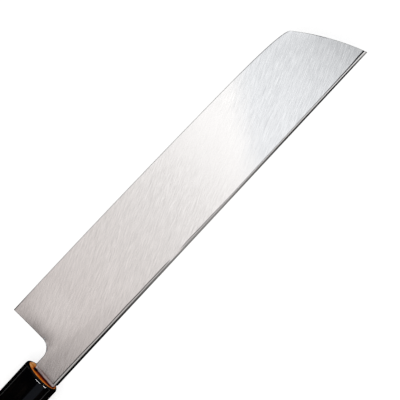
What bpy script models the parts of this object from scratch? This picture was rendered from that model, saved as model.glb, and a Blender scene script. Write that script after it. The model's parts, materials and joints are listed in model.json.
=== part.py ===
"""Hamokiri: a long single-bevel knife with a slanted end, a horn ferrule and a wooden handle.

Every piece is drawn in the knife's own lines: x = 0 at the mouth of the ferrule, growing toward
the tip; y = 0 on the spine, growing toward the cutting edge; z = 0 on the flat rims of the
hollow-ground face, growing outward. The parent empty then puts the middle of the knife's base,
as it lies with the hollow-ground face up, at the world's origin. All sizes are in metres.
"""

from math import cos, pi, radians, sin, tan

import bmesh
import bpy
from mathutils import Vector

# Outline of the blade
BLADE_LENGTH = 0.3007       # heel corner to tip corner
HEEL_HEIGHT = 0.0595        # spine to edge at the heel corner
TIP_HEIGHT = 0.0517         # spine to where the edge and the slanted end would meet
EDGE_BULGE = 0.0011         # rise of the edge above its chord
END_SETBACK = 0.0281        # how far the end leans back from the tip corner
END_BULGE = 0.0024          # rise of the slanted end beyond its chord
CORNER_ON_EDGE = 0.0540     # stretch of the edge that belongs to the round corner
CORNER_ON_END = 0.0053      # stretch of the slanted end that belongs to it
NECK_LENGTH = 0.0172        # ferrule to heel corner
NECK_HEIGHT = 0.0208
HEEL_RAKE = radians(2.6)    # lean of the heel line from square
HEEL_BOW = 0.0004           # how far the heel line is hollowed beside its chord
HEEL_ARC_RADIUS = 0.0087    # hollow corner between neck and heel

# Thickness and grind of the blade
SPINE_THICKNESS = 0.0052    # at the ferrule
TIP_THICKNESS = 0.0022      # at the tip corner
EDGE_THICKNESS = 0.00025
BEVEL_WIDTH = 0.0250        # edge to the ridge line of the bevelled face
RIM_SPINE = 0.00145         # flat rim beside the hollow, along the spine
RIM_EDGE = 0.0009           # flat rim along the cutting edge
RIM_STEP = 0.0002           # drop from the spine rim to the face beside it
RIM_STEP_WIDTH = 0.0005
HOLLOW_DEPTH = 0.0005
HOLLOW_START_RIM = 0.0155   # width of the unhollowed band along the spine at the heel
HOLLOW_START_LENGTH = 0.150  # distance over which that band narrows to the rim
HOLLOW_RUN_IN = 0.010       # slope from the heel line down to full depth

# Tang
SHOULDER_GAP = 0.0020       # ferrule mouth to the shoulder where the neck becomes the tang
SHOULDER_SLOPE = 0.0004
TANG_LENGTH = 0.0950        # from the ferrule mouth
TANG_SPINE_STEP = 0.0010    # step from neck to tang on the spine side
TANG_EDGE_STEP = 0.0032     # step on the edge side
TANG_FACE_STEP = 0.0004     # step on each face
TANG_END_HEIGHT = 0.0070
TANG_END_THICKNESS = 0.0026

# Handle and ferrule
HANDLE_LENGTH = 0.1500      # ferrule mouth to butt
FERRULE_LENGTH = 0.0360
SPINE_WOOD = 0.00095        # wood of the tenon between its slot and its spine side
EDGE_WOOD = 0.0073          # the same on the edge side
CHEEK_WOOD = 0.00545        # the same beside each face of the tang
HORN_WALL = 0.0018          # ferrule's wall on the spine and edge sides
HORN_CHEEK = 0.0037         # ferrule's wall beside the cheeks
BUTT_HEIGHT = 0.0318
BUTT_DEPTH = 0.0256         # across the two cheeks, without the ridge
RIDGE_RISE = 0.0011         # ridge along the cheek on the bevelled side
RIDGE_SHARE = 0.35          # share of the flat flanks in that cheek's curve
MOUTH_ROUND = 0.0016        # rounded front edge of the ferrule
MOUTH_LAND = 0.0002         # least flat width left inside that round
BUTT_CHAMFER = 0.0012
FIT_GAP = 0.0003            # clearance between neighbouring pieces
SLOT_END_SPACE = 0.0030     # air behind the tang's end
SLOT_MOUTH_GAP = 0.0017     # opening of the burnt slot beyond the tang, on the edge side
SLOT_MOUTH_DEPTH = 0.0040

# Fineness of the meshes
RING_POINTS = 64
ROUND_STEPS = 5
EDGE_COLUMNS = 24
CORNER_COLUMNS = 12
LOWER_ROWS = 5
MIDDLE_ROWS = 2
BEVEL_ROWS = 4
ARC_COLUMNS = 7
NECK_COLUMNS = 2
LOWER_ROWS_AT_END = 0.85    # share of the flat below the ridge that they cover at the slanted end

# Places that follow from the sizes
TIP_X = NECK_LENGTH + BLADE_LENGTH
HEEL_CORNER = Vector((NECK_LENGTH, HEEL_HEIGHT))
MEETING = Vector((TIP_X - END_SETBACK, TIP_HEIGHT))
TIP_CORNER = Vector((TIP_X, 0.0))
TANG_HEIGHT = NECK_HEIGHT - TANG_SPINE_STEP - TANG_EDGE_STEP
TANG_THICKNESS = SPINE_THICKNESS - 2 * TANG_FACE_STEP
TENON_HEIGHT = SPINE_WOOD + TANG_HEIGHT + 2 * FIT_GAP + EDGE_WOOD
TENON_DEPTH = TANG_THICKNESS + 2 * FIT_GAP + 2 * CHEEK_WOOD
BORE_HEIGHT = TENON_HEIGHT + 2 * FIT_GAP
BORE_DEPTH = TENON_DEPTH + 2 * FIT_GAP
FERRULE_HEIGHT = BORE_HEIGHT + 2 * HORN_WALL
FERRULE_DEPTH = BORE_DEPTH + 2 * HORN_CHEEK
GRIP_CENTRE = TANG_SPINE_STEP - FIT_GAP - SPINE_WOOD + TENON_HEIGHT / 2
GRIP_LEVEL = -SPINE_THICKNESS / 2   # the handle is centred on the thickness of the neck


def remove_everything():
    for item in list(bpy.data.objects):
        bpy.data.objects.remove(item, do_unlink=True)


def material(name, colour, roughness, metallic=0.0):
    made = bpy.data.materials.new(name)
    made.use_nodes = True
    shader = made.node_tree.nodes["Principled BSDF"]
    shader.inputs["Base Color"].default_value = (*colour, 1.0)
    shader.inputs["Roughness"].default_value = roughness
    shader.inputs["Metallic"].default_value = metallic
    return made


def add_object(name, bm, finish, parent, crease=radians(30)):
    mesh = bpy.data.meshes.new(name)
    bm.normal_update()
    bm.to_mesh(mesh)
    bm.free()
    mesh.materials.append(finish)
    mesh.shade_smooth()
    mesh.set_sharp_from_angle(angle=crease)
    made = bpy.data.objects.new(name, mesh)
    bpy.context.collection.objects.link(made)
    made.parent = parent
    return made


def smooth(t):
    """Ease from 0 to 1 with level ends."""
    t = min(max(t, 0.0), 1.0)
    return t * t * (3 - 2 * t)


def mix(a, b, t):
    return a + (b - a) * t


# Outline of the blade in the plane of its hollow-ground face

def flat_arc(start, end, bulge, t):
    """Point at share t of a flat arc that rises by bulge on the left of its chord."""
    along = end - start
    across = Vector((-along.y, along.x)).normalized()
    return start + along * t + across * (bulge * 4 * t * (1 - t))


def edge_line(t):
    """Cutting edge, from the heel corner (0) to where the round corner starts (1)."""
    corner = 1 - CORNER_ON_EDGE / (MEETING - HEEL_CORNER).length
    return flat_arc(HEEL_CORNER, MEETING, EDGE_BULGE, corner * t)


def end_line(t):
    """Slanted end, from the tip corner (0) to where the round corner stops (1)."""
    corner = CORNER_ON_END / (TIP_CORNER - MEETING).length
    return flat_arc(MEETING, TIP_CORNER, END_BULGE, mix(1.0, corner, t))


def edge_and_corner():
    """Points along the edge and round its corner, up to the slanted end."""
    points = [edge_line(k / EDGE_COLUMNS) for k in range(EDGE_COLUMNS + 1)]
    start = points[-1]
    end = end_line(1.0)
    small = 0.01
    leaving = start - edge_line(1 - small)
    arriving = end - end_line(1 - small)
    peak = start + leaving * ((end - start).cross(arriving) / leaving.cross(arriving))
    for k in range(1, CORNER_COLUMNS + 1):
        t = k / CORNER_COLUMNS
        points.append(start.lerp(peak, t).lerp(peak.lerp(end, t), t))
    return points


def heel_line_x(y):
    share = y / HEEL_HEIGHT
    return NECK_LENGTH + (HEEL_HEIGHT - y) * tan(HEEL_RAKE) + heel_bow(share)


def heel_bow(share):
    return HEEL_BOW * 4 * share * (1 - share)


ARC_CENTRE_Y = NECK_HEIGHT + HEEL_ARC_RADIUS
ARC_TOP_Y = ARC_CENTRE_Y - HEEL_ARC_RADIUS * sin(HEEL_RAKE)
ARC_CENTRE_X = heel_line_x(ARC_TOP_Y) - HEEL_ARC_RADIUS * cos(HEEL_RAKE)


def lower_rows(top):
    """Distances from the spine of the rows that neck and body share, the last one at top."""
    foot = RIM_SPINE + RIM_STEP_WIDTH
    return [0.0, RIM_SPINE] + [mix(foot, top, k / LOWER_ROWS) for k in range(LOWER_ROWS + 1)]


def upper_rows(bottom, length):
    """Distances from the spine of the body's further rows, up to the edge."""
    ridge = max(length - BEVEL_WIDTH, bottom + RIM_EDGE)
    rows = [mix(bottom, ridge, k / MIDDLE_ROWS) for k in range(1, MIDDLE_ROWS + 1)]
    rows += [mix(ridge, length - RIM_EDGE, k / BEVEL_ROWS) for k in range(1, BEVEL_ROWS + 1)]
    return rows + [length]


def body_columns():
    """Columns of (point, distance from spine, distance from edge) from the heel to the end."""
    tops = edge_and_corner()
    travelled = [0.0]
    for before, after in zip(tops, tops[1:]):
        travelled.append(travelled[-1] + (after - before).length)
    columns = []
    for top, distance_along in zip(tops, travelled):
        u = distance_along / travelled[-1]
        foot = Vector((mix(heel_line_x(0.0), TIP_X, u), 0.0))
        length = (top - foot).length
        shared_at_heel = ARC_TOP_Y / cos(HEEL_RAKE)
        shared = mix(shared_at_heel, LOWER_ROWS_AT_END * (length - BEVEL_WIDTH), u)
        column = []
        for distance in lower_rows(shared) + upper_rows(shared, length):
            v = distance / length
            point = foot.lerp(top, v)
            point += (end_line(v) - end_line(0.0).lerp(end_line(1.0), v)) * u
            point.x += heel_bow(v) * (1 - u)
            column.append((point, distance, length - distance))
        columns.append(column)
    return columns


def neck_columns(heel_foot_x, heel_top_x):
    """Columns of the neck, from the shoulder to the hollow corner at the heel."""
    start = SHOULDER_GAP + SHOULDER_SLOPE
    places = [(mix(start, ARC_CENTRE_X, k / NECK_COLUMNS), NECK_HEIGHT) for k in range(NECK_COLUMNS)]
    for k in range(ARC_COLUMNS):
        turn = (pi / 2 - HEEL_RAKE) * k / ARC_COLUMNS
        x = ARC_CENTRE_X + HEEL_ARC_RADIUS * sin(turn)
        places.append((x, ARC_CENTRE_Y - HEEL_ARC_RADIUS * cos(turn)))
    columns = []
    for x, top in places:
        lean = (heel_foot_x - heel_top_x) * smooth((x - start) / (heel_top_x - start))
        column = []
        for distance in lower_rows(top):
            point = Vector((x + lean * (1 - distance / top), distance))
            column.append((point, distance, HEEL_HEIGHT - distance))
        columns.append(column)
    return columns


def tang_limits(x):
    """Low y, high y, low z and high z of the tang at x."""
    t = (SHOULDER_GAP - x) / (SHOULDER_GAP + TANG_LENGTH)
    low = mix(TANG_SPINE_STEP, GRIP_CENTRE - TANG_END_HEIGHT / 2, t)
    height = mix(TANG_HEIGHT, TANG_END_HEIGHT, t)
    half = mix(TANG_THICKNESS, TANG_END_THICKNESS, t) / 2
    return low, low + height, GRIP_LEVEL - half, GRIP_LEVEL + half


def tang_columns(bm, rows):
    """The tang's two columns: its inner end and the shoulder."""
    upper = []
    lower = []
    for x in (-TANG_LENGTH, SHOULDER_GAP):
        low, high, under, over = tang_limits(x)
        ys = [mix(low, high, j / (rows - 1)) for j in range(rows)]
        upper.append([bm.verts.new((x, y, over)) for y in ys])
        lower.append([bm.verts.new((x, y, under)) for y in ys])
    return upper, lower


def blade_thickness(x):
    """The bevelled face's flat is one plane, which nears the hollow face toward the tip."""
    return mix(SPINE_THICKNESS, TIP_THICKNESS, x / TIP_X)


def face_depth(point, from_spine, from_edge):
    """Depth of the hollow-ground face below its flat rims."""
    if from_spine <= RIM_SPINE:
        return 0.0
    reach = from_spine + from_edge - RIM_EDGE
    share = min((from_spine - RIM_SPINE) / (reach - RIM_SPINE), 1.0)
    step = RIM_STEP * (1 - share)
    from_heel = point.x - heel_line_x(point.y)
    border = mix(HOLLOW_START_RIM, RIM_SPINE, smooth(from_heel / HOLLOW_START_LENGTH))
    across = (from_spine - border) / (reach - border)
    if not 0.0 < across < 1.0:
        return step
    return step + HOLLOW_DEPTH * 4 * across * (1 - across) * smooth(from_heel / HOLLOW_RUN_IN)


def build_blade():
    body = body_columns()
    heel_top = body[0][LOWER_ROWS + 2][0]
    neck = neck_columns(heel_line_x(0.0), heel_top.x)
    bm = bmesh.new()
    upper, lower = tang_columns(bm, len(neck[0]))
    for column in neck + body:
        up = []
        down = []
        for point, from_spine, from_edge in column:
            thick = blade_thickness(point.x)
            if len(column) > len(neck[0]):
                thick = mix(EDGE_THICKNESS, thick, min(1.0, from_edge / BEVEL_WIDTH))
            depth = face_depth(point, from_spine, from_edge)
            up.append(bm.verts.new((point.x, point.y, -depth)))
            down.append(bm.verts.new((point.x, point.y, -thick)))
        upper.append(up)
        lower.append(down)
    skin(bm, upper, lower)
    bmesh.ops.dissolve_limit(bm, angle_limit=radians(0.02), verts=bm.verts, edges=bm.edges)
    bmesh.ops.triangulate(bm, faces=[f for f in bm.faces if len(f.verts) > 4])
    bmesh.ops.recalc_face_normals(bm, faces=bm.faces)
    return bm


def skin(bm, upper, lower):
    """Closes the two sheets of vertex columns into one body."""
    for i in range(len(upper) - 1):
        rows = min(len(upper[i]), len(upper[i + 1]))
        for j in range(rows - 1):
            quad = (upper[i][j], upper[i + 1][j], upper[i + 1][j + 1], upper[i][j + 1])
            bm.faces.new(quad)
            quad = (lower[i][j], lower[i][j + 1], lower[i + 1][j + 1], lower[i + 1][j])
            bm.faces.new(quad)
    partner = {}
    for up, down in zip(upper, lower):
        partner.update(zip(up, down))
    rim = [e for e in bm.edges if e.is_boundary and e.verts[0] in partner and e.verts[1] in partner]
    for edge in rim:
        a, b = edge.verts
        bm.faces.new((a, b, partner[b], partner[a]))


# Handle and ferrule

def grip_section(height, depth, x, inset=0.0):
    """Ring of points round the grip: an oval whose cheek on the bevelled side has a soft ridge."""
    half_height = height / 2 - inset
    half_depth = depth / 2 - inset
    ring = []
    for k in range(RING_POINTS):
        turn = 2 * pi * k / RING_POINTS
        y = half_height * cos(turn)
        z = half_depth * sin(turn)
        if z < 0:
            flank = (half_depth + RIDGE_RISE / RIDGE_SHARE) * (1 - abs(cos(turn)))
            z = mix(z, -flank, RIDGE_SHARE)
        ring.append(Vector((x, GRIP_CENTRE + y, GRIP_LEVEL + z)))
    return ring


def oval_section(height, depth, x):
    ring = []
    for k in range(RING_POINTS):
        turn = 2 * pi * k / RING_POINTS
        y = GRIP_CENTRE + height / 2 * cos(turn)
        ring.append(Vector((x, y, GRIP_LEVEL + depth / 2 * sin(turn))))
    return ring


def loft(bm, rings, closed_round=False):
    """Joins rings with quads; the ends are capped, or joined to each other for a tube."""
    made = [[bm.verts.new(p) for p in ring] for ring in rings]
    pairs = list(zip(made, made[1:]))
    if closed_round:
        pairs.append((made[-1], made[0]))
    else:
        bm.faces.new(made[0])
        bm.faces.new(made[-1])
    for first, second in pairs:
        for k in range(len(first)):
            n = (k + 1) % len(first)
            bm.faces.new((first[k], first[n], second[n], second[k]))
    bmesh.ops.recalc_face_normals(bm, faces=bm.faces)


def build_ferrule():
    radius = min(MOUTH_ROUND, HORN_WALL - MOUTH_LAND)
    rings = [grip_section(FERRULE_HEIGHT, FERRULE_DEPTH, -FERRULE_LENGTH)]
    for k in range(ROUND_STEPS + 1):
        turn = pi / 2 * k / ROUND_STEPS
        x = -radius * (1 - sin(turn))
        rings.append(grip_section(FERRULE_HEIGHT, FERRULE_DEPTH, x, radius * (1 - cos(turn))))
    rings.append(oval_section(BORE_HEIGHT, BORE_DEPTH, 0.0))
    rings.append(oval_section(BORE_HEIGHT, BORE_DEPTH, -FERRULE_LENGTH))
    bm = bmesh.new()
    loft(bm, rings, closed_round=True)
    return bm


def build_handle():
    """Wooden grip with the tenon that fills the ferrule's bore."""
    front = -FERRULE_LENGTH - FIT_GAP
    butt = -HANDLE_LENGTH
    rings = [
        oval_section(TENON_HEIGHT, TENON_DEPTH, 0.0),
        oval_section(TENON_HEIGHT, TENON_DEPTH, front),
        grip_section(FERRULE_HEIGHT, FERRULE_DEPTH, front),
        grip_section(BUTT_HEIGHT, BUTT_DEPTH, butt + BUTT_CHAMFER),
        grip_section(BUTT_HEIGHT, BUTT_DEPTH, butt, BUTT_CHAMFER),
    ]
    bm = bmesh.new()
    loft(bm, rings)
    return bm


def slab(front, back):
    """Six-sided block between two rectangles given as (x, low y, high y, low z, high z)."""
    bm = bmesh.new()
    ends = []
    for x, y0, y1, z0, z1 in (front, back):
        ends.append([bm.verts.new((x, y, z)) for y, z in ((y0, z0), (y1, z0), (y1, z1), (y0, z1))])
    first, second = ends
    bm.faces.new(first)
    bm.faces.new(second)
    for k in range(4):
        n = (k + 1) % 4
        bm.faces.new((first[k], first[n], second[n], second[k]))
    bmesh.ops.recalc_face_normals(bm, faces=bm.faces)
    return bm


def slot_section(x):
    low, high, under, over = tang_limits(x)
    return x, low - FIT_GAP, high + FIT_GAP, under - FIT_GAP, over + FIT_GAP


def build_slot_cutter():
    """The burnt slot: the tang's own form with clearance, running past its end."""
    return slab(slot_section(SHOULDER_GAP), slot_section(-TANG_LENGTH - SLOT_END_SPACE))


def build_mouth_cutter():
    """The slot's wider mouth on the edge side of the tang."""
    low, high, under, over = slot_section(0.0)[1:]
    sides = (mix(low, high, 0.5), high - FIT_GAP + SLOT_MOUTH_GAP, under, over)
    return slab((SHOULDER_GAP, *sides), (-SLOT_MOUTH_DEPTH, *sides))


def cut(target, cutter_name, bm, finish, parent):
    cutter = add_object(cutter_name, bm, finish, parent)
    cutter.hide_render = True
    cutter.display_type = 'WIRE'
    modifier = target.modifiers.new(cutter_name, 'BOOLEAN')
    modifier.operation = 'DIFFERENCE'
    modifier.solver = 'EXACT'
    modifier.object = cutter


def knife_base():
    """Where the base's middle lies in the knife's own lines."""
    x = (TIP_X - HANDLE_LENGTH) / 2
    y = (HEEL_HEIGHT + GRIP_CENTRE - BUTT_HEIGHT / 2) / 2
    z = GRIP_LEVEL - BUTT_DEPTH / 2 - RIDGE_RISE
    return Vector((x, y, z))


def main():
    remove_everything()
    knife = bpy.data.objects.new("knife", None)
    bpy.context.collection.objects.link(knife)
    knife.location = -knife_base()
    steel = material("satin_steel", (0.62, 0.60, 0.59), 0.32, 1.0)
    horn = material("black_horn", (0.012, 0.012, 0.014), 0.12)
    wood = material("magnolia_wood", (0.62, 0.45, 0.27), 0.55)
    add_object("blade", build_blade(), steel, knife)
    add_object("ferrule", build_ferrule(), horn, knife)
    handle = add_object("handle", build_handle(), wood, knife)
    cut(handle, "tang_slot", build_slot_cutter(), wood, knife)
    cut(handle, "slot_mouth", build_mouth_cutter(), wood, knife)
    bpy.context.view_layer.update()


main()
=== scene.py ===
import json
from math import cos, pi, radians, sin, tan

import bmesh
import bpy
from mathutils import Matrix, Vector, noise

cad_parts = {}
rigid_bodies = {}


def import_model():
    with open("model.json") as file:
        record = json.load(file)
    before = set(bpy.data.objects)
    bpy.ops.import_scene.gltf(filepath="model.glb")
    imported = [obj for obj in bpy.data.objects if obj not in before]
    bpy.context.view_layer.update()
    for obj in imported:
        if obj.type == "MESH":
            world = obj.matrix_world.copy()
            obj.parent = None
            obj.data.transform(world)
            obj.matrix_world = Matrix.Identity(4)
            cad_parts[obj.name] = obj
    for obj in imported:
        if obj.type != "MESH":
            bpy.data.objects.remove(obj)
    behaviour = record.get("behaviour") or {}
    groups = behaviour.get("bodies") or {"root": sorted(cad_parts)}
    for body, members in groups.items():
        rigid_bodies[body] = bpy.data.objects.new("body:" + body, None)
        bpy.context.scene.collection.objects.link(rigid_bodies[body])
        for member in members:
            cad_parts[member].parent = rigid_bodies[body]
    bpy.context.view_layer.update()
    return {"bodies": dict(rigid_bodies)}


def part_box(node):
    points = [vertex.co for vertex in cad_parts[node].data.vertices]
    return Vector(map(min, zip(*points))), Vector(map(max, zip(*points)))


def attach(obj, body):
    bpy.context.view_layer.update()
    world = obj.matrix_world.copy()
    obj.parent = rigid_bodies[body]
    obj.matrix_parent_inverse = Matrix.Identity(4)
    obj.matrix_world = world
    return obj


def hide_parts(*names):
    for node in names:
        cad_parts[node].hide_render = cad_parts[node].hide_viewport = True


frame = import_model()

# The knife's own lines: x from the ferrule's mouth toward the tip, y from the spine toward the
# edge, z from the flat rims of the hollow-ground face outward. Sizes are in metres.
KNIFE = Vector((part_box("ferrule")[1].x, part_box("blade")[0].y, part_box("blade")[1].z))

# Outline of the blade
BLADE_LENGTH = 0.3007
HEEL_HEIGHT = 0.0595
TIP_HEIGHT = 0.0517
EDGE_BULGE = 0.0011
END_SETBACK = 0.0281
END_BULGE = 0.0024
CORNER_ON_EDGE = 0.0540
CORNER_ON_END = 0.0053
NECK_LENGTH = 0.0172
NECK_HEIGHT = 0.0208
HEEL_RAKE = radians(2.6)
HEEL_BOW = 0.0004
HEEL_ARC_RADIUS = 0.0087

# Grind of the blade
SPINE_THICKNESS = 0.0052
TIP_THICKNESS = 0.0022
EDGE_THICKNESS = 0.00025
BEVEL_WIDTH = 0.0250
RIM_SPINE = 0.00145
RIM_EDGE = 0.0009
RIM_STEP = 0.00025
RIM_SLOPE = 0.172           # how steeply the rim falls toward the spine's corner
GROUND_OVER = (0.1255, 0.1385)  # short stretch where the rim is ground away
# The rim along the spine and the crease beside it: place x, rim's width, crease's width, and how
# dark the crease's painted shade is
RIM_STATIONS = (
    (0.030, 0.00145, 0.00085, 0.90),
    (0.055, 0.00120, 0.00075, 0.95),
    (0.077, 0.00130, 0.00085, 1.00),
    (0.098, 0.00110, 0.00080, 0.95),
    (0.120, 0.00105, 0.00075, 0.95),
    (0.127, 0.00105, 0.00060, 0.00),
    (0.137, 0.00105, 0.00060, 0.00),
    (0.143, 0.00115, 0.00065, 0.80),
    (0.168, 0.00100, 0.00055, 0.85),
    (0.188, 0.00090, 0.00040, 0.30),
    (0.216, 0.00105, 0.00040, 0.35),
    (0.243, 0.00110, 0.00040, 0.35),
    (0.268, 0.00120, 0.00050, 0.45),
    (0.285, 0.00110, 0.00070, 0.85),
    (0.302, 0.00105, 0.00100, 1.00),
    (0.314, 0.00115, 0.00150, 1.00),
)
# How dark painted shade makes the honed line along the edge: (place x, share)
EDGE_STATIONS = ((0.020, 0.90), (0.040, 0.14), (0.235, 0.14),
                 (0.270, 0.50), (0.286, 0.55), (0.298, 0.15))
HOLLOW_DEPTH = 0.0005
HOLLOW_START_RIM = 0.0155
HOLLOW_START_LENGTH = 0.150
HOLLOW_RUN_IN = 0.040
HONED_WIDTH = 0.00035       # line along the edge that the whetstone leaves
HONED_DROP = 0.00013
HEEL_ROLL = 0.00018         # how far polishing has rounded the face down beside the heel line
HEEL_ROLL_WIDTH = 0.0130
HEEL_ROLL_EDGE_FADE = 0.022  # length over which that rounding fades toward the edge
HEEL_ROLL_NECK_FADE = 0.005  # and toward the neck
OUTLINE_ROUND = 0.00048     # softened corners of spine, neck and heel on the hollow side
END_ROUND_SHARE = 0.4       # those of the slanted end are this much of it
SMALL_ROUND_SHARE = 0.2     # and those of the shoulder and the bevel side this much
# Painted shade on the hollow-ground face along a band beside the spine, and close to the mouth
BAND_DARKNESS = 0.10
BAND_LENGTH = 0.110
BAND_BORDER = 0.005
MOUTH_DARKNESS = 0.38
MOUTH_SHADE_LENGTH = 0.005

# Tang
SHOULDER_X = 0.0024
TANG_LOW = 0.0010
TANG_HIGH = 0.0196
TANG_INNER_X = -0.0300
TANG_FACE_STEP = 0.0004

# Handle and ferrule
HANDLE_LENGTH = 0.1500
FERRULE_LENGTH = 0.0360
FERRULE_HEIGHT = 0.02965
FERRULE_DEPTH = 0.0239
BORE_HEIGHT = 0.02605
BORE_DEPTH = 0.0165
BUTT_HEIGHT = 0.0318
BUTT_DEPTH = 0.0256
RIDGE_RISE = 0.0011
RIDGE_SHARE = 0.35
GRIP_CENTRE = 0.012475
GRIP_LEVEL = -SPINE_THICKNESS / 2
MOUTH_ROUND = 0.0016
BUTT_ROUND = 0.0014
JOINT_ROUND = 0.00015
MOUTH_RECESS = 0.0012
SLOT_MOUTH_GAP = 0.0005
TENON_UNEVENNESS = 0.00018
TENON_PATCHES = 400.0       # per metre
HORN_SHINE = 0.50
DULL_SHINE = 0.06
DULL_FACING = 0.84          # where the ferrule faces forward by more than this, it is dull

# Fineness of the meshes
EDGE_COLUMNS = 110
CORNER_COLUMNS = 36
NECK_COLUMNS = 5
ARC_COLUMNS = 20
LOWER_ROWS = 12
MIDDLE_ROWS = 10
BEVEL_ROWS = 14
RIM_STRIPS = 3              # the first strips beside the spine, which make its rim
BAR_COLUMNS = 160
TENON_COLUMNS = 96
SHARP_FROM = radians(35)    # edges that turn by more than this stay sharp

TIP_X = NECK_LENGTH + BLADE_LENGTH
HEEL_CORNER = Vector((NECK_LENGTH, HEEL_HEIGHT))
MEETING = Vector((TIP_X - END_SETBACK, TIP_HEIGHT))
TIP_CORNER = Vector((TIP_X, 0.0))

# Grinding marks run slantwise over the blade, at this angle to its length
MARKS_ANGLE = radians(23.2)
# How strongly the marks show on the hollow-ground face, by share of the way from mouth to tip
MARKS_STRENGTH = ((0.05, 1.40), (0.13, 1.22), (0.22, 1.12), (0.31, 1.18), (0.42, 1.00), (0.52, 1.20),
                  (0.60, 0.47), (0.67, 0.47), (0.74, 1.03), (0.85, 1.18))
# Toward the tip the face is painted darker and cooler from this line on: a painted edge of the bright
# reflection
PAINTED_DIM_TIP_ANGLE = radians(54)
PAINTED_DIM_TIP_START = (0.206, 0.0, 0.0)


def mix(a, b, t):
    return a + (b - a) * t


def smooth(t):
    t = min(max(t, 0.0), 1.0)
    return t * t * (3 - 2 * t)


# Materials

class Sums:
    """Adds math nodes to a node tree, so that a formula reads as one."""

    def __init__(self, tree):
        self.tree = tree

    def __call__(self, operation, *values, clamp=False):
        node = self.tree.nodes.new('ShaderNodeMath')
        node.operation = operation
        node.use_clamp = clamp
        for socket, value in zip(node.inputs, values):
            if isinstance(value, (int, float)):
                socket.default_value = value
            else:
                self.tree.links.new(value, socket)
        return node.outputs[0]

    def ease(self, value, low, high):
        """0 below low, 1 above high, and a smooth rise between."""
        node = self.tree.nodes.new('ShaderNodeMapRange')
        node.interpolation_type = 'SMOOTHSTEP'
        self.tree.links.new(value, node.inputs["Value"])
        node.inputs["From Min"].default_value = low
        node.inputs["From Max"].default_value = high
        return node.outputs["Result"]


class Finish:
    """A material with one Principled shader, and short ways to add the nodes that feed it."""

    def __init__(self, name, roughness=0.5, metallic=0.0):
        self.material = bpy.data.materials.new(name)
        self.material.use_nodes = True
        self.tree = self.material.node_tree
        self.shader = self.tree.nodes["Principled BSDF"]
        self.shader.inputs["Roughness"].default_value = roughness
        self.shader.inputs["Metallic"].default_value = metallic
        self.sum = Sums(self.tree)
        self.place = self.tree.nodes.new('ShaderNodeTexCoord').outputs["Object"]

    def link(self, output, socket_name):
        self.tree.links.new(output, self.shader.inputs[socket_name])

    def turned(self, angle=0.0, stretch=(1.0, 1.0, 1.0), centre=(0.0, 0.0, 0.0)):
        """Coordinates measured from centre, turned about Z, and divided by the stretch lengths."""
        node = self.tree.nodes.new('ShaderNodeMapping')
        node.vector_type = 'TEXTURE'
        node.inputs["Location"].default_value = centre
        node.inputs["Rotation"].default_value = (0.0, 0.0, angle)
        node.inputs["Scale"].default_value = stretch
        self.tree.links.new(self.place, node.inputs["Vector"])
        return node.outputs["Vector"]

    def grain(self, vector, detail=3.0, roughness=0.55, distortion=0.0):
        node = self.tree.nodes.new('ShaderNodeTexNoise')
        node.inputs["Scale"].default_value = 1.0
        node.inputs["Detail"].default_value = detail
        node.inputs["Roughness"].default_value = roughness
        node.inputs["Distortion"].default_value = distortion
        self.tree.links.new(vector, node.inputs["Vector"])
        return node.outputs["Fac"]

    def attribute(self, name):
        node = self.tree.nodes.new('ShaderNodeAttribute')
        node.attribute_name = name
        return node.outputs["Fac"]

    def axis(self, vector, name):
        node = self.tree.nodes.new('ShaderNodeSeparateXYZ')
        self.tree.links.new(vector, node.inputs[0])
        return node.outputs[name]

    def ramp(self, factor, *stops):
        """Colour ramp through (place, colour) stops."""
        node = self.tree.nodes.new('ShaderNodeValToRGB')
        elements = node.color_ramp.elements
        while len(elements) < len(stops):
            elements.new(0.5)
        for element, (place, colour) in zip(elements, stops):
            element.position = place
            element.color = (*colour, 1.0)
        self.tree.links.new(factor, node.inputs["Fac"])
        return node.outputs["Color"]

    def blend(self, factor, first, second):
        """The first colour where factor is 0, and the second where it is 1."""
        node = self.tree.nodes.new('ShaderNodeMix')
        node.data_type = 'RGBA'
        sockets = (node.inputs[0], node.inputs[6], node.inputs[7])
        for value, socket in zip((factor, first, second), sockets):
            if isinstance(value, (int, float)):
                socket.default_value = value
            elif isinstance(value, tuple):
                socket.default_value = (*value, 1.0)
            else:
                self.tree.links.new(value, socket)
        return node.outputs[2]

    def relief(self, height, distance, strength=1.0):
        node = self.tree.nodes.new('ShaderNodeBump')
        node.inputs["Strength"].default_value = strength
        node.inputs["Distance"].default_value = distance
        self.tree.links.new(height, node.inputs["Height"])
        self.link(node.outputs["Normal"], "Normal")

    def brushed(self, amount, angle):
        """Highlights drawn out across marks that run at the angle."""
        self.shader.inputs["Anisotropic"].default_value = amount
        across = self.tree.nodes.new('ShaderNodeCombineXYZ')
        across.inputs["X"].default_value = -sin(angle)
        across.inputs["Y"].default_value = cos(angle)
        self.link(across.outputs["Vector"], "Tangent")


def add_marks(finish, angle):
    """Fine grinding marks on steel, in gloss and a shallow relief; gives streaks for the colour."""
    fine = finish.grain(finish.turned(angle, (0.0095, 0.00032, 0.02)), 3.0, 0.85)
    broad = finish.grain(finish.turned(angle, (0.024, 0.0018, 0.05)), 2.0)
    cloud = finish.grain(finish.turned(angle, (0.060, 0.0300, 0.05)), 2.0)
    streaks = finish.sum('ADD', finish.sum('MULTIPLY', fine, 0.92), finish.sum('MULTIPLY', broad, 0.08))
    gloss = finish.sum('MULTIPLY_ADD', streaks, 0.16, 0.12)
    finish.link(finish.sum('MULTIPLY_ADD', cloud, 0.04, gloss), "Roughness")
    finish.relief(fine, 0.000003)
    return streaks, broad


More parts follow.
